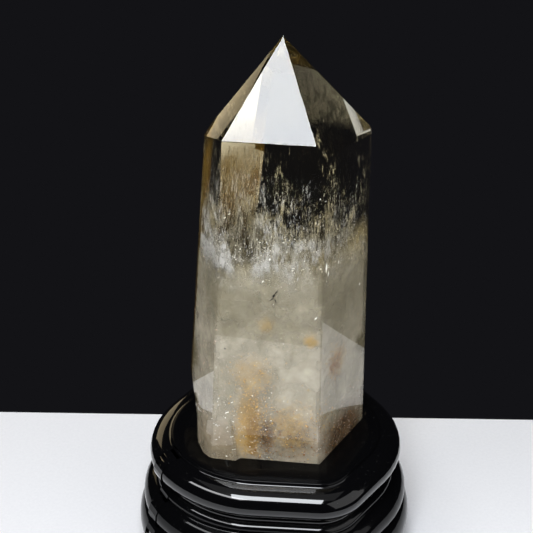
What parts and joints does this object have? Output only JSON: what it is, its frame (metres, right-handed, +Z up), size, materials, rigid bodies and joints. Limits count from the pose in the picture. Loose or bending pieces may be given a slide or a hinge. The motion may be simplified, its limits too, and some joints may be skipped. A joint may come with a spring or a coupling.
{
  "type": "quartz point",
  "caption": "Polished quartz point, clear above and milky below, set in the shaped pocket of a black lacquered display stand with carved mouldings.",
  "frame": {"origin": "centre of the stand's underside, on the surface it stands on", "axes": "+Z up along the crystal, +X to the right and -Y towards the viewer of the broad front face"},
  "size_m": [0.1066, 0.0938, 0.202],
  "materials": {
    "quartz": "polished clear quartz with a smoky tint, white veils, a milky foot and rust stains",
    "lacquer": "carved wood under black gloss lacquer"
  },
  "bodies": {
    "root": {"quartz_point": "quartz", "wooden_stand": "lacquer"}
  },
  "joints": []
}
